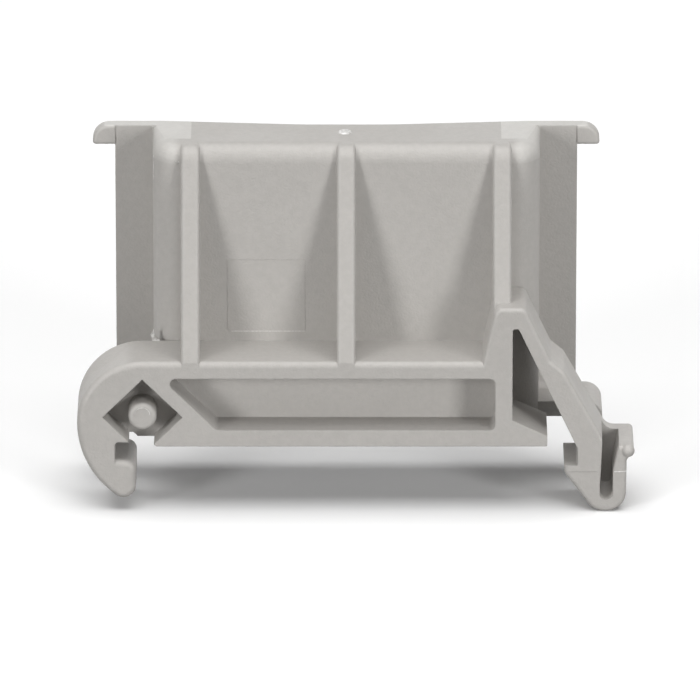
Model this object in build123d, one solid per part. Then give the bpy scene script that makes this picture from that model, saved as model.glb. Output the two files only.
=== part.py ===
from build123d import *

import os
from math import cos, radians, sqrt, tan

# Mounting angle adapter, moulded in one piece from polyamide.
# The foot snaps over the edges of a flat top-hat rail that runs along Y under it.
# The upright hat behind the foot repeats the rail's own section, turned by 90 degrees.
# Millimetres. X across the rail, Y from front to back, Z up.
# Origin on the rail seat: rail centre line, middle of the foot's depth, top of the rail flange.

# Rail that the foot snaps onto
RAIL_WIDTH = 35.0
RAIL_FLANGE = 1.0
EDGE_PLAY = 0.1

# Foot
FOOT_DEPTH = 5.0
FOOT_HEIGHT = 6.75
FOOT_EDGE = 0.45
BEAM_BAR = 1.3
WINDOW_DEPTH = 2.93
DIAMOND_DEPTH = 2.3
WEB = 1.2
WINDOW_NOSE = 0.45
WINDOW_CORNER = 0.42
SLANT_WALL = 1.07
WINDOW_END_WALL = 1.3

# Fixed claw at the left rail edge
CLAW_BACK = 2.85
CLAW_CROWN = 4.98
CLAW_DROP = 4.24
CLAW_REACH = 1.6
CLAW_TOE = 0.95
LIP_PLAY = 0.12
LIP_FALL = 0.2
LIP_ROUND = 0.75
SLOT_RELIEF = 0.33
SLOT_CORNER = 0.3
DIAMOND_HALF = 3.05
DIAMOND_HEIGHT = 2.34
NOTCH_WIDTH = 1.6
NOTCH_ROUND = 0.35
PIN_DIAMETER = 2.13
PIN_LENGTH = 2.2
PIN_TIP = 0.3

# Spring lever at the right rail edge, an inverted V with a catch and a pocket for a screwdriver
LEVER_LEAN = 25.1
STRIP = 1.12
CROWN_HEIGHT = 11.08
CROWN_LEFT = 0.75
CROWN_RIGHT = 0.55
V_HEIGHT = 9.46
V_TOP_WIDTH = 0.46
V_ROUND = 0.2
LEG_ROOT = 2.25
LEG_TOP = 1.29
KNEE_HEIGHT = 6.85
KNEE_REACH = 1.02
KNEE_FALL = 0.87
KNEE_ROUND = 0.32
RECESS_TOP = -0.2
CATCH_PLAY = 0.56
CATCH_REACH = 1.02
CATCH_NOSE = 0.6
CATCH_ROOT_ROUND = 0.08
CATCH_SLOPE_END = 1.3
NOSE_ROUND = 1.0
LEVER_DROP = 5.3
LEVER_ROUND = 1.5
LEVER_WALL = 0.98
LEVER_EDGE = 0.3
SADDLE_SHIFT = 0.4
SADDLE_ROUND = 1.0
BEAD_REACH = 0.55
BEAD_FLARE = 0.2
BEAD_DROP = 1.15
BEAD_NECK = 0.06
BEAD_ROUND = 0.36
POCKET_WALL = 1.85
POCKET_DRAFT = 0.2
POCKET_BASE = 1.04
POCKET_THROAT = 1.35
POCKET_MOUTH = 1.3
POCKET_ROUND = 0.5
THROAT_ROUND = 1.0
POCKET_BACK_WALL = 1.1
DETENT_RADIUS = 0.5
DETENT_SINK = 0.2
DETENT_DROP = 0.4
DETENT_SHIFT = 0.16

# Tongue of the beam inside the V
TONGUE_LENGTH = 2.67
TONGUE_ROOT = 2.1
TONGUE_TIP = 0.84
TONGUE_ROUND = 0.12

# Upright hat with two wings, which takes the carriers
HAT_HEIGHT = 22.35
HAT_DEPTH = 6.1
WALL = 1.1
WING = 1.0
WING_REACH = 2.9
BOX_CORNER = 2.1
TOP_ROUND = 1.29
SIDE_ROUND = 0.4
TOP_SAG = 0.87
SAG_FLAT = 3.4
SAG_END = 14.0
SAG_ROUND = 30.0
CHANNEL_CORNER = 1.0
LEDGE = 1.2
EAR_REACH = 1.7
EAR_HEIGHT = 1.55
EAR_ROUND = 1.3
EAR_CORNER = 0.25
EAR_PROUD = 0.1
EAR_EDGE = 0.25
LEDGE_REACH = 2.0
LEDGE_FRONT = 1.65
LEDGE_ROUND = 1.3
LEDGE_CORNER = 0.3
LIP_DROP = 1.2
LIP_CORNER = 0.15
WING_BLEND = 0.8

# Stiffening ribs before the panel
RIB_WIDTH = 1.41
RIB_INSET = 2.88
RIB_PROUD = 0.25
RIB_EDGE = 0.3

# How far a cut runs past the face that it opens, and the tolerance for finding edges by place
CUT_PAST = 1.0
TINY = 0.01

# Worked out from the sizes above
grip_x = RAIL_WIDTH / 2 + EDGE_PLAY
front_y = -FOOT_DEPTH / 2
panel_y = FOOT_DEPTH / 2
web_y = front_y + WINDOW_DEPTH
diamond_y = front_y + DIAMOND_DEPTH
core_y = web_y + WEB
back_y = panel_y + HAT_DEPTH
wing_y = back_y - WING
box_x = grip_x - WING_REACH
rib_x = box_x - RIB_INSET
claw_x = -grip_x - CLAW_BACK + CLAW_CROWN
claw_z = FOOT_HEIGHT - CLAW_CROWN
lean = tan(radians(LEVER_LEAN))
strip_x = STRIP / cos(radians(LEVER_LEAN))


def lever_inner(height):
    """X of the lever's inner face, which leans in from the rail edge to the crown."""
    return grip_x - (height - RECESS_TOP) * lean


v_wall = lever_inner(V_HEIGHT) - V_TOP_WIDTH
pocket_x = grip_x + POCKET_WALL
leg_x = pocket_x - POCKET_DRAFT + POCKET_BASE + LEVER_WALL


def rounded(*corners):
    """Face from corners of x, z and corner radius."""
    points = [(x, z) for x, z, radius in corners]
    radii = [radius for x, z, radius in corners]
    return make_face(FilletPolyline(*points, radius=radii, close=True))


def slab(face, front, back):
    """Solid of an upright face between two planes across the depth."""
    return extrude(Plane.XZ.offset(-back) * face, back - front)


def crosswise(face, left, right):
    """Solid of a face of y and z between two planes across the width."""
    return extrude(Plane.YZ.offset(left) * face, right - left)


def upright(face, bottom, top):
    """Solid of a face of x and y between two heights."""
    return extrude(Plane.XY.offset(bottom) * face, top - bottom)


def both_sides(shape):
    """The shape and its mirror image on the other side of the rail's centre line."""
    return shape + mirror(shape, about=Plane.YZ)


def claw_profile():
    """Round back of the claw, its tip under the rail edge and the beam's left end."""
    outer_x = claw_x - CLAW_CROWN
    toe = Vector(-grip_x + CLAW_REACH - CLAW_TOE, CLAW_TOE - CLAW_DROP)
    across = toe.X - outer_x
    drop = claw_z - toe.Y
    belly_radius = (across**2 + drop**2 - CLAW_TOE**2) / (2 * (across - CLAW_TOE))
    belly = Vector(outer_x + belly_radius, claw_z)
    touch = toe + (toe - belly).normalized() * CLAW_TOE
    tip = toe + Vector(CLAW_TOE, 0)
    return make_face(
        CenterArc((claw_x, claw_z), CLAW_CROWN, 90, 90)
        + TangentArc((outer_x, claw_z), touch, tangent=(0, -1))
        + TangentArc(touch, tip, tangent=(toe.Y - touch.Y, touch.X - toe.X))
        + Polyline(tip, (tip.X, -RAIL_FLANGE), (claw_x, -RAIL_FLANGE), (claw_x, FOOT_HEIGHT))
    )


def rail_slot():
    """Slot that takes the rail edge, with a sloped and rounded lead over the lip."""
    lip_z = -RAIL_FLANGE - LIP_PLAY
    tip_x = -grip_x + CLAW_REACH
    relief_x = tip_x + LIP_PLAY
    return rounded(
        (-grip_x, SLOT_RELIEF, SLOT_CORNER),
        (-grip_x, lip_z, 0),
        (tip_x, lip_z - LIP_FALL, LIP_ROUND),
        (tip_x, CLAW_TOE - CLAW_DROP, 0),
        (claw_x + DIAMOND_HALF, CLAW_TOE - CLAW_DROP, 0),
        (claw_x + DIAMOND_HALF, 0, 0),
        (relief_x, 0, 0),
        (relief_x - SLOT_RELIEF, SLOT_RELIEF, 0),
    )


def window_profile():
    """Long window of the beam, with a slanted end along the diamond recess."""
    diamond_line = claw_x + DIAMOND_HEIGHT + DIAMOND_HALF
    slant_line = diamond_line + SLANT_WALL * sqrt(2)
    top = FOOT_HEIGHT - BEAM_BAR
    right = v_wall - WINDOW_END_WALL
    return rounded(
        (slant_line - top, top, WINDOW_NOSE),
        (slant_line - BEAM_BAR, BEAM_BAR, WINDOW_CORNER),
        (right, BEAM_BAR, WINDOW_CORNER),
        (right, top, WINDOW_CORNER),
    )


def diamond_profile():
    """Square on its corner, with a notch where its lowest corner breaks through the underside."""
    square = Rectangle(DIAMOND_HALF * sqrt(2), DIAMOND_HALF * sqrt(2))
    left, right = claw_x - NOTCH_WIDTH / 2, claw_x + NOTCH_WIDTH / 2
    notch = rounded(
        (left, -RAIL_FLANGE, 0),
        (claw_x + DIAMOND_HALF, -RAIL_FLANGE, 0),
        (claw_x + DIAMOND_HALF, 0, 0),
        (right, 0, NOTCH_ROUND),
        (right, DIAMOND_HEIGHT, 0),
        (left, DIAMOND_HEIGHT, 0),
    )
    return Pos(claw_x, DIAMOND_HEIGHT) * Rot(0, 0, 45) * square + notch


def tongue_profile():
    """End of the beam inside the V, sloped on top."""
    tip_x = v_wall + TONGUE_LENGTH
    return rounded(
        (v_wall - WINDOW_END_WALL / 2, 0, 0),
        (tip_x, 0, TONGUE_ROUND),
        (tip_x, TONGUE_TIP, TONGUE_ROUND),
        (v_wall, TONGUE_ROOT, 0),
        (v_wall - WINDOW_END_WALL / 2, TONGUE_ROOT, 0),
    )


def lever_profile():
    """Inverted V: fixed leg on the beam, crown, sprung leg, knee, catch and outer leg."""
    root_z = FOOT_HEIGHT - BEAM_BAR / 2
    catch_z = -RAIL_FLANGE - CATCH_PLAY
    catch_x = grip_x - CATCH_REACH
    knee_x = lever_inner(KNEE_HEIGHT) + strip_x
    nose_z = catch_z - CATCH_NOSE
    return rounded(
        (v_wall - LEG_ROOT, root_z, 0),
        (v_wall - LEG_ROOT, FOOT_HEIGHT, 0),
        (v_wall - LEG_TOP, CROWN_HEIGHT, CROWN_LEFT),
        (lever_inner(CROWN_HEIGHT) + strip_x, CROWN_HEIGHT, CROWN_RIGHT),
        (knee_x, KNEE_HEIGHT, 0),
        (knee_x + KNEE_REACH, KNEE_HEIGHT - KNEE_FALL, KNEE_ROUND),
        (pocket_x + SADDLE_SHIFT, 0, SADDLE_ROUND),
        (leg_x + BEAD_REACH + BEAD_FLARE, 0, BEAD_ROUND),
        (leg_x + BEAD_REACH, -BEAD_DROP / 2, BEAD_ROUND),
        (leg_x + BEAD_NECK, -BEAD_DROP, BEAD_ROUND),
        (leg_x, -LEVER_DROP, LEVER_ROUND),
        (grip_x + CATCH_SLOPE_END, -LEVER_DROP, LEVER_ROUND),
        (catch_x, nose_z, NOSE_ROUND),
        (catch_x, catch_z, 0),
        (grip_x, catch_z, CATCH_ROOT_ROUND),
        (grip_x, RECESS_TOP, SLOT_CORNER),
        (lever_inner(V_HEIGHT), V_HEIGHT, V_ROUND),
        (v_wall, V_HEIGHT, V_ROUND),
        (v_wall, root_z, 0),
    )


def pocket_profile():
    """Slim wedge for a screwdriver blade, round at the bottom and open at the top."""
    bottom_x = pocket_x - POCKET_DRAFT
    bottom_z = -LEVER_DROP + LEVER_WALL
    mouth_z = KNEE_HEIGHT - KNEE_FALL
    throat_z = bottom_z / 2
    return rounded(
        (bottom_x, bottom_z, POCKET_ROUND),
        (bottom_x + POCKET_BASE, bottom_z, POCKET_ROUND),
        (bottom_x + POCKET_BASE, throat_z, THROAT_ROUND),
        (pocket_x + POCKET_MOUTH, 0, 0),
        (pocket_x + POCKET_THROAT, mouth_z, 0),
        (pocket_x, mouth_z, 0),
        (pocket_x, 0, 0),
    )


def foot_solid():
    """Foot with both claws, rounded on its upper front edges."""
    beam = rounded(
        (claw_x, 0, 0),
        (v_wall, 0, 0),
        (v_wall, FOOT_HEIGHT, 0),
        (claw_x, FOOT_HEIGHT, 0),
    )
    profile = claw_profile() + beam + tongue_profile() + lever_profile() - rail_slot()
    foot = slab(profile, front_y, panel_y)
    foot = fillet([edge for edge in foot.edges() if is_claw_front(edge)], FOOT_EDGE)
    return fillet([edge for edge in foot.edges() if is_lever_front(edge)], LEVER_EDGE)


def is_front(edge):
    """Whether the edge lies in the foot's front plane."""
    return edge.bounding_box().max.Y < front_y + TINY


def is_claw_front(edge):
    """Whether the edge is on the front outline of the claw's back or the beam's top."""
    middle = edge @ 0.5
    on_claw = middle.X < -grip_x - TINY
    on_top = abs(middle.Z - FOOT_HEIGHT) < TINY and middle.X < v_wall - LEG_ROOT
    return is_front(edge) and (on_claw or on_top)


def is_lever_front(edge):
    """Whether the edge is on the front outline of the lever, from its root to the catch."""
    middle = edge @ 0.5
    on_root = middle.Z > FOOT_HEIGHT + TINY and middle.X < v_wall - TINY
    on_crown = middle.Z > V_HEIGHT + TINY
    on_leg = middle.X > lever_inner(middle.Z) + strip_x / 2
    return is_front(edge) and (on_root or on_crown or on_leg)


def foot_recesses():
    """Window, diamond and pocket, which are all open to the front."""
    window = slab(window_profile(), front_y - CUT_PAST, web_y)
    diamond = slab(diamond_profile(), front_y - CUT_PAST, diamond_y)
    pocket = slab(pocket_profile(), front_y - CUT_PAST, panel_y - POCKET_BACK_WALL)
    return window + diamond + pocket


def pin_solid():
    """Round pin on the web in the middle of the diamond."""
    pin = Cylinder(PIN_DIAMETER / 2, PIN_LENGTH + WEB / 2, align=(Align.CENTER, Align.CENTER, Align.MIN))
    pin = fillet(pin.edges().group_by(Axis.Z)[-1], PIN_TIP)
    return Pos(claw_x, diamond_y + WEB / 2, DIAMOND_HEIGHT) * Rot(90, 0, 0) * pin


def detent_solid():
    """Small shallow dome near the top of the outer leg."""
    return Pos(leg_x + DETENT_SHIFT, front_y + DETENT_SINK, -DETENT_DROP) * Sphere(DETENT_RADIUS)


def box_solid():
    """Outside of the hat's box. Its top front rounding runs round the corners and fades towards the wings."""
    corner_y = panel_y + BOX_CORNER
    plan = rounded(
        (-box_x, panel_y, BOX_CORNER),
        (box_x, panel_y, BOX_CORNER),
        (box_x, back_y, 0),
        (-box_x, back_y, 0),
    )
    block = upright(plan, 0, HAT_HEIGHT)
    rim = [edge for edge in block.edges().group_by(Axis.Z)[-1] if (edge @ 0.5).Y < back_y - TINY]
    front = split(fillet(rim, TOP_ROUND), Plane.XZ.offset(-corner_y), keep=Keep.TOP)
    fading = loft([box_section(corner_y, TOP_ROUND), box_section(wing_y, SIDE_ROUND)], ruled=True)
    rear = slab(box_profile(SIDE_ROUND), wing_y, back_y)
    return front + fading + rear


def box_profile(side_round):
    """Outline of the box seen from the front, with both top corners rounded."""
    return rounded(
        (-box_x, 0, 0),
        (box_x, 0, 0),
        (box_x, HAT_HEIGHT, side_round),
        (-box_x, HAT_HEIGHT, side_round),
    )


def box_section(depth, side_round):
    """The box's outline as a face at the given depth."""
    return Plane.XZ.offset(-depth) * box_profile(side_round)


def channel_solid():
    """Space inside the hat, open to the back, with a deeper core behind the window."""
    inner_x = box_x - WALL
    plan = rounded(
        (-inner_x, panel_y + WALL, CHANNEL_CORNER),
        (inner_x, panel_y + WALL, CHANNEL_CORNER),
        (inner_x, back_y + CUT_PAST, 0),
        (-inner_x, back_y + CUT_PAST, 0),
    )
    channel = upright(plan, LEDGE, HAT_HEIGHT - LEDGE)
    core = slab(window_profile(), core_y, panel_y + WALL + CUT_PAST)
    return channel + core


def wing_solids():
    """Two wings like rail flanges, with ears at the top that stop a carrier."""
    ear_z = HAT_HEIGHT - EAR_HEIGHT
    wing = rounded(
        (box_x - WALL, 0, 0),
        (grip_x, 0, 0),
        (grip_x, HAT_HEIGHT, 0),
        (box_x - WALL, HAT_HEIGHT, 0),
    )
    ear = rounded(
        (grip_x, ear_z, 0),
        (grip_x + EAR_REACH, ear_z, EAR_CORNER),
        (grip_x + EAR_REACH, HAT_HEIGHT, EAR_ROUND),
        (grip_x, HAT_HEIGHT, 0),
    )
    ear_block = slab(ear, wing_y - EAR_PROUD, back_y)
    rim = [edge for edge in ear_block.edges().group_by(Axis.Y)[0] if (edge @ 0.5).X > grip_x + TINY]
    return both_sides(slab(wing, wing_y, back_y) + fillet(rim, EAR_EDGE))


def ledge_solids():
    """Bottom stop beside the box, turned down outside the rail's edges."""
    ledge = rounded(
        (box_x - WALL, 0, 0),
        (grip_x, 0, LIP_CORNER),
        (grip_x, -LIP_DROP, LIP_CORNER),
        (grip_x + LEDGE_REACH, -LIP_DROP, LEDGE_CORNER),
        (grip_x + LEDGE_REACH, LEDGE, LEDGE_ROUND),
        (box_x - WALL, LEDGE, 0),
    )
    blend = Pos(wing_y, LEDGE) * make_face(
        Polyline((0, WING_BLEND), (0, 0), (-WING_BLEND, 0))
        + CenterArc((-WING_BLEND, WING_BLEND), WING_BLEND, 270, 90)
    )
    return both_sides(
        slab(ledge, panel_y + LEDGE_FRONT, back_y) + crosswise(blend, box_x, grip_x)
    )


def rib_solid():
    """One stiffening rib, sloped back from the foot's front edge to the top of the panel."""
    side = rounded(
        (front_y, FOOT_HEIGHT - BEAM_BAR / 2, 0),
        (panel_y + WALL / 2, FOOT_HEIGHT - BEAM_BAR / 2, 0),
        (panel_y + WALL / 2, HAT_HEIGHT - LEDGE, 0),
        (panel_y + TOP_ROUND * 2, HAT_HEIGHT - LEDGE / 2, 0),
        (panel_y + TOP_ROUND * 2, HAT_HEIGHT, 0),
        (panel_y - RIB_PROUD, HAT_HEIGHT, TOP_ROUND),
        (front_y, FOOT_HEIGHT, 0),
    )
    rib = crosswise(side, -RIB_WIDTH / 2, RIB_WIDTH / 2)
    front = [edge for edge in rib.edges() if is_rib_front(edge)]
    return fillet(front, RIB_EDGE)


def is_rib_front(edge):
    """Whether the edge runs down the rib's sloped front or over its rounded top."""
    box = edge.bounding_box()
    flat = box.max.X - box.min.X < TINY
    on_slope = box.max.Z > HAT_HEIGHT / 2 and box.min.Y < front_y + TINY
    on_top = box.max.Z > HAT_HEIGHT - TINY and box.min.Y < panel_y + TOP_ROUND
    return flat and (on_slope or on_top)


def top_sag():
    """Shallow cut into the back of the top wall, flat in the middle and running out to both sides."""
    past_y = back_y + CUT_PAST
    face = rounded(
        (-SAG_END, back_y, 0),
        (-SAG_FLAT, back_y - TOP_SAG, SAG_ROUND),
        (SAG_FLAT, back_y - TOP_SAG, SAG_ROUND),
        (SAG_END, back_y, 0),
        (SAG_END, past_y, 0),
        (-SAG_END, past_y, 0),
    )
    return upright(face, HAT_HEIGHT - LEDGE, HAT_HEIGHT + CUT_PAST)


def adapter():
    """Whole adapter as one solid."""
    ribs = [Pos(x, 0, 0) * rib_solid() for x in (-rib_x, 0, rib_x)]
    hat = box_solid() + wing_solids() + ledge_solids()
    body = foot_solid() + hat
    for rib in ribs:
        body += rib
    body -= foot_recesses()
    body -= channel_solid()
    body -= top_sag()
    return body + pin_solid() + detent_solid()


os.makedirs("parts", exist_ok=True)
export_step(adapter(), "parts/angle_adapter.step")
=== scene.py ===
# %% [markdown]
# # A moulded angle adapter, dressed for its portrait
#
# The object is one injection moulding of light grey polyamide. Its foot snaps in place with a
# fixed claw and a spring lever, and the upright hat behind the foot takes carriers. Its solid
# comes from the CAD model, so this lesson adds what the mould leaves on the surface, the plastic
# itself, and a small photo studio. Everything is in metres.

from math import cos, pi, radians, sin

import bmesh
import bpy
from mathutils import Matrix, Vector


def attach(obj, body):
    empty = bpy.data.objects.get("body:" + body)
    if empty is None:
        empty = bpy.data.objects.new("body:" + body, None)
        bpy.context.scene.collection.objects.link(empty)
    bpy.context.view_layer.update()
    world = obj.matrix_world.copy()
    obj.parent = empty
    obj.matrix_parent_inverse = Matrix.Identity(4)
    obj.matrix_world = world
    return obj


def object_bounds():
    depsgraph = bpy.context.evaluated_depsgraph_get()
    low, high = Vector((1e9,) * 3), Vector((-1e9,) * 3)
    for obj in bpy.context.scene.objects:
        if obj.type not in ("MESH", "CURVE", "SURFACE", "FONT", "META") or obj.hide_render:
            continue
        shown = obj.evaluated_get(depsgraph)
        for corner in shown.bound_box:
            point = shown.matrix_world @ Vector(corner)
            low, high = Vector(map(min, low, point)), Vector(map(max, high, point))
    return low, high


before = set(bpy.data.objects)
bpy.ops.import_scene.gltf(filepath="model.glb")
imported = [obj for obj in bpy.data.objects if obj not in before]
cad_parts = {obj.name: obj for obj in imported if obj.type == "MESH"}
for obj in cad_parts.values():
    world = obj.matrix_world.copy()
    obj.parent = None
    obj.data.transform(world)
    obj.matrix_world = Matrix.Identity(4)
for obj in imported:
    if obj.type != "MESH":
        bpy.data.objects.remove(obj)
cad_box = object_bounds()
MM = 0.001
print("CAD box in mm:", [[round(value / MM, 2) for value in corner] for corner in cad_box])

# %% [markdown]
# ## Camera
#
# The picture is taken from a little above, straight from the front, with a long lens: the sides
# of the hat hardly converge. A camera 0.9 m away with a 611 mm lens gives that flat look. It is
# set before anything else, so that each later step can be judged in the real framing.
#
# The view transform is Standard, which shows a colour as it is written. A film-like transform
# would make white paper grey and flatten the plastic's shading.

# %% Camera
CAMERA_DISTANCE = 0.9
CAMERA_ELEVATION = radians(20)
CAMERA_LENS = 611
CLIP_RANGE = (0.01, 20)
AIM = Vector((0.00029, -0.0025, 0.0078))


def make_camera():
    """Camera that looks along +Y and down onto the foot."""
    camera = bpy.data.objects.new("camera", bpy.data.cameras.new("camera"))
    bpy.context.scene.collection.objects.link(camera)
    back = Vector((0, -cos(CAMERA_ELEVATION), sin(CAMERA_ELEVATION)))
    camera.location = AIM + back * CAMERA_DISTANCE
    camera.rotation_euler = (radians(90) - CAMERA_ELEVATION, 0, 0)
    camera.data.lens = CAMERA_LENS
    camera.data.clip_start, camera.data.clip_end = CLIP_RANGE
    return camera


bpy.context.scene.camera = make_camera()
bpy.context.scene.view_settings.view_transform = "Standard"
print("camera", CAMERA_DISTANCE, "m away,", CAMERA_LENS, "mm lens")

# %% [markdown]
# ## Two small helpers for materials
#
# Colours are written as sRGB hex, the way a colour picker shows them, and turned into the linear
# values that a shader needs. One function adds a node with its settings and its links, so that a
# material reads as a list of what it is made of.

# %% Colour and node helpers
LIGHT_GREY = "#ADAAA6"


def colour(code):
    """Linear RGBA of an sRGB hex code."""
    parts = [int(code[place:place + 2], 16) / 255 for place in (1, 3, 5)]
    linear = [part / 12.92 if part <= 0.04045 else ((part + 0.055) / 1.055) ** 2.4 for part in parts]
    return (*linear, 1.0)


def add_node(tree, kind, inputs=None, **settings):
    """New node. Each input is a value or the socket that feeds it."""
    node = tree.nodes.new(kind)
    for name, value in settings.items():
        setattr(node, name, value)
    for name, value in (inputs or {}).items():
        if isinstance(value, bpy.types.NodeSocket):
            tree.links.new(value, node.inputs[name])
        else:
            node.inputs[name].default_value = value
    return node


def new_material(name):
    """Material with an empty node tree and its output node."""
    material = bpy.data.materials.new(name)
    material.use_nodes = True
    material.node_tree.nodes.clear()
    return material, material.node_tree, material.node_tree.nodes.new("ShaderNodeOutputMaterial")


print("light grey in linear values:", [round(value, 3) for value in colour(LIGHT_GREY)])

# %% [markdown]
# ## Spark-eroded polyamide
#
# The real material is polyamide, coloured light grey all through and injected into a steel mould
# whose walls were spark-eroded. Erosion leaves a fine, even, pebbly grain, which the plastic
# copies, so it looks matt with a soft, wide sheen. The melt also cools unevenly, which shows as
# faint cloudy bands a few millimetres wide. The grain could be a picture, but noise on Object
# coordinates needs no unwrapping and stays sharp at any zoom.
#
# The true grain is 0.03 to 0.1 mm. It is drawn here at 0.16 mm, or it would not show at all. The
# IOR is polyamide's own, and a bevel in the shader softens the edges by a tenth of a millimetre.
#
# The hat's two upper corners are drawn a shade lighter in colour, with a sharp border across the
# top wall and another one a little way down the walls, so their place is read from the Object
# coordinates as well.

# %% Lighter corners
TOP_BORDER_X = 11.75 * MM
TOP_BORDER_Y = 4.4 * MM
TOP_BORDER_Z = 22.25 * MM
CORNER_INNER_X = (12.6 * MM, 13.2 * MM)
CORNER_OUTER_X = 14.76 * MM
CORNER_Z = 20.95 * MM
CORNER_SHARE = (0.25, 0.7)
BORDER_SOFTNESS = 0.06 * MM
RISING = (0.0, 1.0)
FALLING = (1.0, 0.0)


def border(place):
    """Both ends of a border that is a few hundredths of a millimetre wide."""
    return place, place + BORDER_SOFTNESS


def inside(tree, limits):
    """Product of straight ramps. Each limit is an axis, a span on it and the share at both ends."""
    product = 1.0
    for axis, (start, end), (low, high) in limits:
        ramp = add_node(
            tree,
            "ShaderNodeMapRange",
            {"Value": axis, "From Min": start, "From Max": end, "To Min": low, "To Max": high},
        )
        both = add_node(
            tree, "ShaderNodeMath", {0: product, 1: ramp.outputs["Result"]}, operation="MULTIPLY",
        )
        product = both.outputs["Value"]
    return product


def lighter_corners(tree, place):
    """1 on the top wall's two lighter ends, a little on the round corners below, and 0 elsewhere."""
    axes = add_node(tree, "ShaderNodeSeparateXYZ", {"Vector": place}).outputs
    across = add_node(tree, "ShaderNodeMath", {0: axes["X"]}, operation="ABSOLUTE").outputs["Value"]
    on_top = inside(tree, [
        (across, border(TOP_BORDER_X), RISING),
        (axes["Y"], border(TOP_BORDER_Y), RISING),
        (axes["Z"], border(TOP_BORDER_Z), RISING),
    ])
    on_wall = inside(tree, [
        (across, CORNER_INNER_X, RISING),
        (across, border(CORNER_OUTER_X), FALLING),
        (axes["Z"], border(CORNER_Z), RISING),
        (axes["Z"], (CORNER_Z, TOP_BORDER_Z), CORNER_SHARE),
    ])
    either = add_node(tree, "ShaderNodeMath", {0: on_top, 1: on_wall}, operation="MAXIMUM")
    return either.outputs["Value"]


# The top wall is drawn a shade lighter from here outwards.
print("smooth ends start", round(TOP_BORDER_X / MM, 2), "mm to either side of the middle")

# %% Polyamide material
GRAIN = 0.16 * MM
GRAIN_DEPTH = 0.03 * MM
CLOUD = 5.0 * MM
SPECK = 0.45 * MM
NOISE_MIDDLE = {"From Min": 0.35, "From Max": 0.65}
CLOUD_GREY = "#AFACA8"
# The lighter grey that the top wall's ends and the round corners below are drawn in.
LIGHTER_CORNER_GREY = "#C2C0BC"
SPECK_SHADE = "#FAFAFA"
NO_SHADE = "#FFFFFF"
EDGE_SOFTNESS = 0.12 * MM
POLYAMIDE_IOR = 1.53
SATIN_TO_MATT = {"To Min": 0.5, "To Max": 0.58}


def blotches(tree, place, size, detail):
    """Noise with features of about the given size in metres, from a clear 0 to a clear 1."""
    noise = add_node(tree, "ShaderNodeTexNoise", {"Vector": place, "Scale": 1 / size, "Detail": detail})
    clear = add_node(tree, "ShaderNodeMapRange", {"Value": noise.outputs["Fac"], **NOISE_MIDDLE})
    return clear.outputs["Result"]


def make_polyamide():
    """Light grey moulded polyamide with mould grain and faint clouds from the melt's flow."""
    material, tree, output = new_material("moulded_polyamide_light_grey")
    place = add_node(tree, "ShaderNodeTexCoord").outputs["Object"]
    ends = lighter_corners(tree, place)
    cloud = blotches(tree, place, CLOUD, 3)
    clouded = add_node(
        tree,
        "ShaderNodeMix",
        {"Factor": cloud, "A": colour(LIGHT_GREY), "B": colour(CLOUD_GREY)},
        data_type="RGBA",
    )
    # The top wall's two ends and the round corners below are drawn in a lighter grey.
    ended = add_node(
        tree,
        "ShaderNodeMix",
        {"Factor": ends, "A": clouded.outputs["Result"], "B": colour(LIGHTER_CORNER_GREY)},
        data_type="RGBA",
    )
    specked = add_node(
        tree,
        "ShaderNodeMix",
        {"Factor": blotches(tree, place, SPECK, 2), "A": colour(SPECK_SHADE), "B": colour(NO_SHADE)},
        data_type="RGBA",
    )
    tint = add_node(
        tree,
        "ShaderNodeMix",
        {"Factor": 1.0, "A": ended.outputs["Result"], "B": specked.outputs["Result"]},
        data_type="RGBA",
        blend_type="MULTIPLY",
    )
    sheen = add_node(tree, "ShaderNodeMapRange", {"Value": cloud, **NOISE_MIDDLE, **SATIN_TO_MATT})
    grain = add_node(tree, "ShaderNodeTexNoise", {"Vector": place, "Scale": 1 / GRAIN, "Detail": 2})
    soft = add_node(tree, "ShaderNodeBevel", {"Radius": EDGE_SOFTNESS}, samples=4)
    bump = add_node(
        tree,
        "ShaderNodeBump",
        {
            "Height": grain.outputs["Fac"],
            "Strength": 1.0,
            "Distance": GRAIN_DEPTH,
            "Normal": soft.outputs["Normal"],
        },
    )
    shader = add_node(
        tree,
        "ShaderNodeBsdfPrincipled",
        {
            "Base Color": tint.outputs["Result"],
            "Roughness": sheen.outputs["Result"],
            "Normal": bump.outputs["Normal"],
            "IOR": POLYAMIDE_IOR,
            "Specular IOR Level": 0.45,
        },
    )
    tree.links.new(shader.outputs["BSDF"], output.inputs["Surface"])
    return material


polyamide = make_polyamide()
print("material", polyamide.name, "with", len(polyamide.node_tree.nodes), "nodes")

# %% [markdown]
# ## Stress-whitened polyamide
#
# Where the plastic was torn off at the gate, or squeezed into a gap of the mould, it is full of
# tiny cracks that scatter light. Such places look paler and a little glossier than the rest. A
# small noise lets the paler tone come and go, as it does on a real torn edge.

# %% Whitened plastic
CRACKS = 0.25 * MM
CRACK_DEPTH = 0.01 * MM
CRACK_STRENGTH = 0.2
DULL_WHITENING = "#B4B2AF"
PALE_WHITENING = "#DEDDDB"
SATIN = {"To Min": 0.36, "To Max": 0.46}


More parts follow.
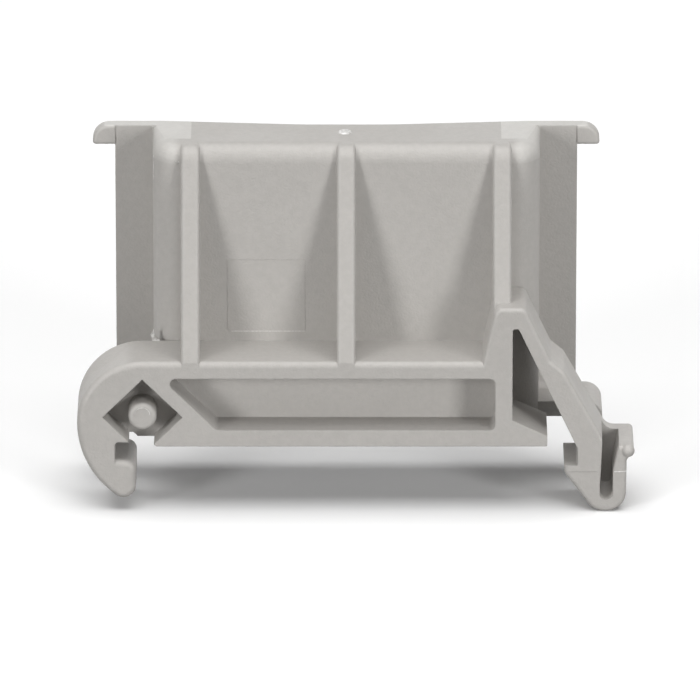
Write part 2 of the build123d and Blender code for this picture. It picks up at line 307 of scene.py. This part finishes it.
def make_whitened():
    """Paler polyamide of the gate mark, the flash spur and some of the raised hairlines."""
    material, tree, output = new_material("stress_whitened_polyamide")
    place = add_node(tree, "ShaderNodeTexCoord").outputs["Object"]
    cracks = blotches(tree, place, CRACKS, 2)
    tint = add_node(
        tree,
        "ShaderNodeMix",
        {"Factor": cracks, "A": colour(DULL_WHITENING), "B": colour(PALE_WHITENING)},
        data_type="RGBA",
    )
    sheen = add_node(tree, "ShaderNodeMapRange", {"Value": cracks, **NOISE_MIDDLE, **SATIN})
    bump = add_node(
        tree, "ShaderNodeBump", {"Height": cracks, "Strength": CRACK_STRENGTH, "Distance": CRACK_DEPTH},
    )
    shader = add_node(
        tree,
        "ShaderNodeBsdfPrincipled",
        {
            "Base Color": tint.outputs["Result"],
            "Roughness": sheen.outputs["Result"],
            "Normal": bump.outputs["Normal"],
            "IOR": POLYAMIDE_IOR,
        },
    )
    tree.links.new(shader.outputs["BSDF"], output.inputs["Surface"])
    return material


whitened = make_whitened()
print("material", whitened.name, "with", len(whitened.node_tree.nodes), "nodes")

# %% [markdown]
# ## The moulding itself
#
# The whole adapter is one solid: foot, lever, ribs and hat run into each other without a joint.
# Its shape is right in the CAD model, so the object stays as it is and only gets its plastic.

# %% Dress the moulding
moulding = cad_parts["angle_adapter"]
moulding.data.materials.clear()
moulding.data.materials.append(polyamide)
print("moulding:", len(moulding.data.polygons), "triangles")

# %% [markdown]
# ## Where the melt came in
#
# The plastic was injected through a small hole above the top wall. When the mould opened, it tore
# off and left a low round mark: a shallow ring with a dimple. A lathe profile turned round the Z
# axis gives it, closed at both ends, so it is a solid that sits a little way into the wall.

# %% Gate mark
GATE_PLACE = Vector((-0.1, 5.9, 22.35)) * MM
GATE_PROFILE = [
    (0, -0.05), (0.52, -0.05), (0.51, 0.02), (0.44, 0.1), (0.35, 0.11), (0.2, 0.02), (0, 0.01),
]
GATE_STEPS = 40
MERGE_DISTANCE = 0.001 * MM


def lathe(name, profile, steps):
    """Closed mesh of a profile of radius and height in mm, turned round the Z axis."""
    shape = bmesh.new()
    points = [shape.verts.new((radius * MM, 0, height * MM)) for radius, height in profile]
    edges = [shape.edges.new(pair) for pair in zip(points, points[1:])]
    bmesh.ops.spin(
        shape, geom=points + edges, cent=(0, 0, 0), axis=(0, 0, 1), angle=radians(360), steps=steps,
    )
    bmesh.ops.remove_doubles(shape, verts=shape.verts, dist=MERGE_DISTANCE)
    bmesh.ops.recalc_face_normals(shape, faces=shape.faces)
    mesh = bpy.data.meshes.new(name)
    shape.to_mesh(mesh)
    shape.free()
    mesh.shade_smooth()
    return mesh


def add_piece(name, mesh):
    """Object of a finished mesh, which rides on the body and gets the polyamide if it has no plastic
    yet.
    """
    piece = bpy.data.objects.new(name, mesh)
    bpy.context.scene.collection.objects.link(piece)
    if not mesh.materials:
        mesh.materials.append(polyamide)
    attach(piece, "root")
    return piece


gate_mesh = lathe("gate_mark", GATE_PROFILE, GATE_STEPS)
gate_mesh.transform(Matrix.Translation(GATE_PLACE))
gate_mesh.materials.append(whitened)
gate_mark = add_piece("gate_mark", gate_mesh)
print("gate mark:", len(gate_mark.data.polygons), "faces")

# %% [markdown]
# ## Witness lines
#
# Where two blocks of steel meet inside the mould, a little plastic creeps between them and leaves
# a raised hairline. There is one across the lever's two legs, one down the hat's left corner, an
# arc on the pin, and a frame on the panel round the place that an exchangeable marking block
# moulds. Most of them are whitened, where more plastic was squeezed out.
#
# A hairline follows a path, so Geometry Nodes make it: a small round profile is swept along the
# path, and the tree's inputs give its width. Half of the round sinks into the wall.

# %% Tree for witness lines
LINE_SIDES = 8


def new_tree(name, sizes):
    """Geometry tree with a geometry output and one named float input for each size."""
    tree = bpy.data.node_groups.new(name, "GeometryNodeTree")
    tree.interface.new_socket("Geometry", in_out="INPUT", socket_type="NodeSocketGeometry")
    for size in sizes:
        tree.interface.new_socket(size, in_out="INPUT", socket_type="NodeSocketFloat")
    tree.interface.new_socket("Geometry", in_out="OUTPUT", socket_type="NodeSocketGeometry")
    return tree, tree.nodes.new("NodeGroupInput").outputs, tree.nodes.new("NodeGroupOutput").inputs


def end_tree(tree, geometry, output, plastic):
    """Last two nodes of every tree: real geometry, with its plastic."""
    real = add_node(tree, "GeometryNodeRealizeInstances", {"Geometry": geometry})
    finished = add_node(
        tree, "GeometryNodeSetMaterial", {"Geometry": real.outputs["Geometry"], "Material": plastic},
    )
    tree.links.new(finished.outputs["Geometry"], output["Geometry"])


def make_line_tree(name, plastic):
    """Sweeps a small round profile along the edges that it is given."""
    tree, given, output = new_tree(name, ["Width"])
    half = add_node(tree, "ShaderNodeMath", {0: given["Width"], 1: 0.5}, operation="MULTIPLY")
    path = add_node(tree, "GeometryNodeMeshToCurve", {"Mesh": given["Geometry"]})
    ring = add_node(
        tree,
        "GeometryNodeCurvePrimitiveCircle",
        {"Resolution": LINE_SIDES, "Radius": half.outputs["Value"]},
    )
    swept = add_node(
        tree,
        "GeometryNodeCurveToMesh",
        {
            "Curve": path.outputs["Curve"],
            "Profile Curve": ring.outputs["Curve"],
            "Fill Caps": True,
        },
    )
    end_tree(tree, swept.outputs["Mesh"], output, plastic)
    return tree


def apply_tree(name, tree, start, values):
    """Plain mesh of a tree run on a starting mesh, with its inputs set by their identifiers."""
    carrier = bpy.data.objects.new(name + "_start", start)
    bpy.context.scene.collection.objects.link(carrier)
    modifier = carrier.modifiers.new("tree", "NODES")
    modifier.node_group = tree
    for item in tree.interface.items_tree:
        if item.in_out == "INPUT" and item.name in values:
            modifier[item.identifier] = values[item.name]
    bpy.context.view_layer.update()
    depsgraph = bpy.context.evaluated_depsgraph_get()
    mesh = bpy.data.meshes.new_from_object(carrier.evaluated_get(depsgraph))
    mesh.name = name
    bpy.data.objects.remove(carrier)
    return mesh


fine_line_tree = make_line_tree("fine_witness_line", polyamide)
squeezed_line_tree = make_line_tree("squeezed_witness_line", whitened)
print("trees with", len(fine_line_tree.nodes), "nodes each")

# %% Witness lines
FRONT = -2.5
PIN_FACE = -2.4
PANEL = 2.5
SEAM_HEIGHT = -2.05
HAIRLINE = 0.03
FINE = 0.045
SQUEEZED = 0.09
HOOK_SEAM = [(16.95, FRONT, SEAM_HEIGHT), (19.2, FRONT, SEAM_HEIGHT)]
LEG_SEAM = [
    (20.4, FRONT, SEAM_HEIGHT), (21.0, FRONT, SEAM_HEIGHT),
    (21.18, -2.45, SEAM_HEIGHT), (21.3, -2.3, SEAM_HEIGHT),
]
CORNER_SEAM = [(-14.62, 3.98, 21.2), (-14.62, 3.98, 19.2)]
CORNER_CURL = [(-12.95, 2.5, 21.2), (-12.82, 2.48, 20.98), (-12.7, 2.48, 21.2), (-12.66, 2.5, 21.08)]
BLOCK_LEFT, BLOCK_RIGHT = -9.04, -3.13
BLOCK_LOW, BLOCK_HIGH = 7.51, 13.28
BLOCK_CORNER_X = -8.75
BLOCK_FOOT = [(BLOCK_CORNER_X, PANEL, BLOCK_LOW), (BLOCK_RIGHT, PANEL, BLOCK_LOW)]
BLOCK_SIDES = [
    (BLOCK_CORNER_X, PANEL, BLOCK_LOW), (-8.93, PANEL, 7.56), (-9.02, PANEL, 7.68),
    (BLOCK_LEFT, PANEL, 7.85), (BLOCK_LEFT, PANEL, BLOCK_HIGH), (BLOCK_RIGHT, PANEL, BLOCK_HIGH),
    (BLOCK_RIGHT, PANEL, BLOCK_LOW),
]
PIN_MIDDLE = (-15.48, 2.5)
PIN_ARC_RADIUS = 0.58
PIN_ARC_STEPS = 16


def edge_mesh(name, run):
    """Mesh of bare edges along a run of points in mm."""
    mesh = bpy.data.meshes.new(name)
    edges = [(index, index + 1) for index in range(len(run) - 1)]
    mesh.from_pydata([Vector(point) * MM for point in run], edges, [])
    return mesh


def arch_run(middle, radius, depth, steps):
    """Points along the upper half of a circle that faces the front."""
    turns = [pi * step / steps for step in range(steps + 1)]
    return [(middle[0] + radius * cos(turn), depth, middle[1] + radius * sin(turn)) for turn in turns]


pin_arc = arch_run(PIN_MIDDLE, PIN_ARC_RADIUS, PIN_FACE, PIN_ARC_STEPS)
seams = [
    ("hook_seam", fine_line_tree, HOOK_SEAM, FINE),
    ("leg_seam", squeezed_line_tree, LEG_SEAM, SQUEEZED),
    ("corner_seam", squeezed_line_tree, CORNER_SEAM, FINE),
    ("corner_curl", squeezed_line_tree, CORNER_CURL, FINE),
    ("marking_block_foot", squeezed_line_tree, BLOCK_FOOT, FINE),
    ("marking_block_sides", fine_line_tree, BLOCK_SIDES, HAIRLINE),
    ("pin_arc", squeezed_line_tree, pin_arc, FINE),
]
for name, tree, run, width in seams:
    seam = add_piece(name, apply_tree(name, tree, edge_mesh(name, run), {"Width": width * MM}))
    print(name, len(seam.data.polygons), "faces")

# %% [markdown]
# ## Flash spur
#
# At the foot of the hat's left corner, a scrap of plastic was pressed out between two blocks and
# stands up as a thin curled thorn. It is a flat outline, so it is extruded to a thin plate whose
# lower end sinks into the foot.

# %% Flash spur
SPUR_OUTLINE = [
    (-14.76, 6.6), (-14.8, 7.0), (-14.91, 7.24), (-14.76, 7.45), (-14.64, 7.73), (-14.62, 7.36),
    (-14.54, 7.08), (-14.42, 6.92), (-14.2, 6.81), (-14.1, 6.6),
]
SPUR_FRONT = 2.44
SPUR_THICKNESS = 0.06


def make_plate(name, outline, front, thickness):
    """Closed plate of an outline in x and z, in mm, that faces the front."""
    shape = bmesh.new()
    face = shape.faces.new([shape.verts.new(Vector((x, front, z)) * MM) for x, z in outline])
    moved = bmesh.ops.extrude_face_region(shape, geom=[face], use_keep_orig=True)["geom"]
    points = [item for item in moved if isinstance(item, bmesh.types.BMVert)]
    bmesh.ops.translate(shape, verts=points, vec=(0, thickness * MM, 0))
    bmesh.ops.recalc_face_normals(shape, faces=shape.faces)
    mesh = bpy.data.meshes.new(name)
    shape.to_mesh(mesh)
    shape.free()
    return mesh


spur_mesh = make_plate("flash_spur", SPUR_OUTLINE, SPUR_FRONT, SPUR_THICKNESS)
spur_mesh.materials.append(whitened)
spur = add_piece("flash_spur", spur_mesh)
print("flash spur:", len(spur.data.polygons), "faces")

# %% [markdown]
# ## Ejector marks
#
# Steel pins push the finished part out of the mould, always from the side that nobody sees. Each
# leaves a flat round mark. Here they stand in two rows on the floor of the channel at the back.
# They are all alike and evenly spaced, so one low disc is instanced on a grid.

# %% Ejector marks
CHANNEL_FLOOR = 3.6
PIN_MARK_RADIUS = 1.1
PIN_MARK_PROUD = 0.05
PIN_MARK_SPACING_X = 9.0
PIN_MARK_SPACING_Z = 8.0
PIN_MARK_MIDDLE_Z = 12.6
PIN_MARK_COUNT = (3, 2)
PIN_MARK_SIDES = 32


def make_ejector_tree():
    """Low discs with a chamfer, one on each point of the mesh that it is given."""
    tree, given, output = new_tree("ejector_marks", ["Radius", "Proud"])
    top_radius = add_node(
        tree, "ShaderNodeMath", {0: given["Radius"], 1: given["Proud"]}, operation="SUBTRACT",
    )
    height = add_node(tree, "ShaderNodeMath", {0: given["Proud"], 1: 2.0}, operation="MULTIPLY")
    disc = add_node(
        tree,
        "GeometryNodeMeshCone",
        {
            "Vertices": PIN_MARK_SIDES,
            "Radius Top": top_radius.outputs["Value"],
            "Radius Bottom": given["Radius"],
            "Depth": height.outputs["Value"],
        },
    )
    back = radians(-90)
    placed = add_node(
        tree,
        "GeometryNodeInstanceOnPoints",
        {"Points": given["Geometry"], "Instance": disc.outputs["Mesh"], "Rotation": (back, 0, 0)},
    )
    end_tree(tree, placed.outputs["Instances"], output, polyamide)
    return tree


def grid_points(name, counts):
    """Mesh of loose points in a grid on the channel's floor."""
    across, up = counts
    points = [
        Vector((
            (column - (across - 1) / 2) * PIN_MARK_SPACING_X,
            CHANNEL_FLOOR - PIN_MARK_PROUD,
            PIN_MARK_MIDDLE_Z + (row - (up - 1) / 2) * PIN_MARK_SPACING_Z,
        )) * MM
        for column in range(across)
        for row in range(up)
    ]
    mesh = bpy.data.meshes.new(name)
    mesh.from_pydata(points, [], [])
    return mesh


ejector_marks = add_piece(
    "ejector_marks",
    apply_tree(
        "ejector_marks", make_ejector_tree(), grid_points("ejector_grid", PIN_MARK_COUNT),
        {"Radius": PIN_MARK_RADIUS * MM, "Proud": PIN_MARK_PROUD * MM},
    ),
)
print("ejector marks:", len(ejector_marks.data.polygons), "faces")

# %% [markdown]
# ## Floor and backdrop
#
# The adapter stands on white paper that runs on behind it without a horizon. The floor is a matt
# white that takes the shadow. A trace of light of its own, seen only by the camera and in gloss,
# lifts it to white without shining on the part. The rays that light the part find a grey sheet
# instead, because the real one gets little light from below. The world works the same way: it is
# white to look at, and nearly dark as a lamp.

# %% Floor
FLOOR_HALF = 3.0
FLOOR_GLOW = 0.02
BACKDROP_WHITE = "#FFFFFF"
BOUNCE_GREY = "#808080"


def seen_directly(tree):
    """1 for camera, glossy and transmission rays, and 0 for the rays that light things."""
    path = add_node(tree, "ShaderNodeLightPath").outputs
    camera_or_gloss = add_node(
        tree,
        "ShaderNodeMath",
        {0: path["Is Camera Ray"], 1: path["Is Glossy Ray"]},
        operation="MAXIMUM",
    )
    seen = add_node(
        tree,
        "ShaderNodeMath",
        {0: camera_or_gloss.outputs["Value"], 1: path["Is Transmission Ray"]},
        operation="MAXIMUM",
    )
    return seen.outputs["Value"]


def make_paper():
    """Matt paper, white to the camera and in gloss, and grey to the rays that light the part."""
    material, tree, output = new_material("white_backdrop_paper")
    seen = seen_directly(tree)
    glow = add_node(tree, "ShaderNodeMath", {0: seen, 1: FLOOR_GLOW}, operation="MULTIPLY")
    sheet = add_node(
        tree,
        "ShaderNodeMix",
        {"Factor": seen, "A": colour(BOUNCE_GREY), "B": colour(BACKDROP_WHITE)},
        data_type="RGBA",
    )
    matt = add_node(tree, "ShaderNodeBsdfDiffuse", {"Color": sheet.outputs["Result"]})
    light = add_node(tree, "ShaderNodeEmission", {"Strength": glow.outputs["Value"]})
    both = add_node(
        tree, "ShaderNodeAddShader", {0: matt.outputs["BSDF"], 1: light.outputs["Emission"]},
    )
    tree.links.new(both.outputs["Shader"], output.inputs["Surface"])
    return material


def make_floor(height):
    """Large square of paper at the given height."""
    corners = [(-1, -1), (1, -1), (1, 1), (-1, 1)]
    mesh = bpy.data.meshes.new("floor")
    mesh.from_pydata([(x * FLOOR_HALF, y * FLOOR_HALF, height) for x, y in corners], [], [(0, 1, 2, 3)])
    mesh.materials.append(make_paper())
    floor = bpy.data.objects.new("floor", mesh)
    bpy.context.scene.collection.objects.link(floor)
    return floor


floor = make_floor(cad_box[0].z)
print("floor at", round(cad_box[0].z / MM, 2), "mm")

# %% World
AMBIENT = 0.02
SEEN_STRENGTH = 1.0


def make_world():
    """A trace of even light from all round. It is white to the camera and in gloss."""
    world = bpy.data.worlds.new("studio")
    world.use_nodes = True
    tree = world.node_tree
    tree.nodes.clear()
    output = tree.nodes.new("ShaderNodeOutputWorld")
    strength = add_node(
        tree,
        "ShaderNodeMapRange",
        {"Value": seen_directly(tree), "To Min": AMBIENT, "To Max": SEEN_STRENGTH},
    )
    sky = add_node(
        tree,
        "ShaderNodeBackground",
        {"Color": colour(BACKDROP_WHITE), "Strength": strength.outputs["Result"]},
    )
    tree.links.new(sky.outputs["Background"], output.inputs["Surface"])
    return world


bpy.context.scene.world = make_world()
print("world", bpy.context.scene.world.name, "with ambient light", AMBIENT)

# %% [markdown]
# ## Lamps
#
# Two tall strip boxes stand left and right of the camera, a little above the table. Each rib hides
# one of them from the wall beside it, which draws the soft shadows in the bays. A large box hangs
# overhead. It lights the tops, and the rounded edges see it and both strips and shine the most. A
# weak box stands straight behind, just above the table. It keeps the back from going black and adds
# nothing to the faces that look sideways. The boxes are far away, so the paper is lit evenly. Each
# lamp's level is the share of full light that it gives a surface facing it.

# %% Lamps
LAMP_DISTANCE = 2.0
STRIP_AZIMUTH = 44
STRIP_LEVEL = 0.625
TOP_LEVEL = 1.15
REAR_LEVEL = 0.09


def add_lamp(name, azimuth, elevation, width, height, level):
    """Soft box in the given direction, in degrees, with 0 at the camera's side."""
    across, up = radians(azimuth), radians(elevation)
    away = Vector((sin(across) * cos(up), -cos(across) * cos(up), sin(up)))
    data = bpy.data.lights.new(name, "AREA")
    data.shape = "RECTANGLE"
    data.size = width
    data.size_y = height
    data.energy = level * (pi * LAMP_DISTANCE) ** 2
    lamp = bpy.data.objects.new(name, data)
    bpy.context.scene.collection.objects.link(lamp)
    lamp.location = AIM + away * LAMP_DISTANCE
    lamp.rotation_euler = away.to_track_quat("Z", "Y").to_euler()


for name, azimuth in (("left_strip_box", -STRIP_AZIMUTH), ("right_strip_box", STRIP_AZIMUTH)):
    add_lamp(name, azimuth, elevation=9, width=0.5, height=0.9, level=STRIP_LEVEL)
add_lamp("top_soft_box", azimuth=0, elevation=84, width=2.3, height=2.0, level=TOP_LEVEL)
add_lamp("rear_box", azimuth=180, elevation=5, width=1.0, height=0.3, level=REAR_LEVEL)
